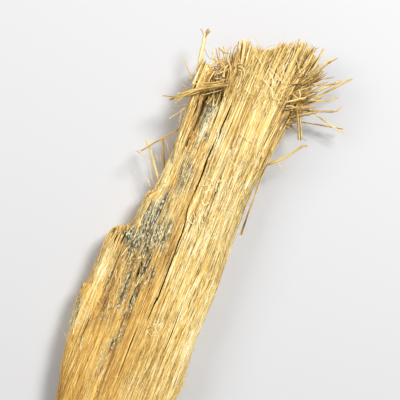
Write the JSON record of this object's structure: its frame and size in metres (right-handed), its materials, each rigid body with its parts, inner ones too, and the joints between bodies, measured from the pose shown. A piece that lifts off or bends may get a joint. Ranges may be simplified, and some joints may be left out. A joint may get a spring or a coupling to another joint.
{
  "type": "balangeroite specimen",
  "caption": "Slab of straw-gold fibrous mineral that splits like wood, lying flat, with one end frayed into a brush of stiff needles.",
  "frame": {"origin": "point on the flat underside, near the middle of the slab's width and length", "axes": "+Y along the fibres towards the frayed end, +Z up out of the face that shows, +X to the right of someone who looks down on that face with +Y up"},
  "size_m": [0.029, 0.0712, 0.0088],
  "materials": {
    "slab": "satin",
    "brush": "satin",
    "needles": "satin"
  },
  "bodies": {
    "root": {"slab": "slab", "left_sliver": "slab", "frayed_brush": "brush", "cross_bundle": "needles", "tall_straw": "needles", "short_straw": "needles", "top_needle_1": "needles", "top_needle_2": "needles", "ray_needle_1": "needles", "ray_needle_2": "needles", "ray_needle_3": "needles", "crooked_needle": "needles", "long_needle": "needles", "low_needle": "needles", "twin_needle_1": "needles", "twin_needle_2": "needles", "bent_needle": "needles", "trailing_needle": "needles", "left_needle_1": "needles", "left_needle_2": "needles", "left_needle_3": "needles"}
  },
  "joints": []
}
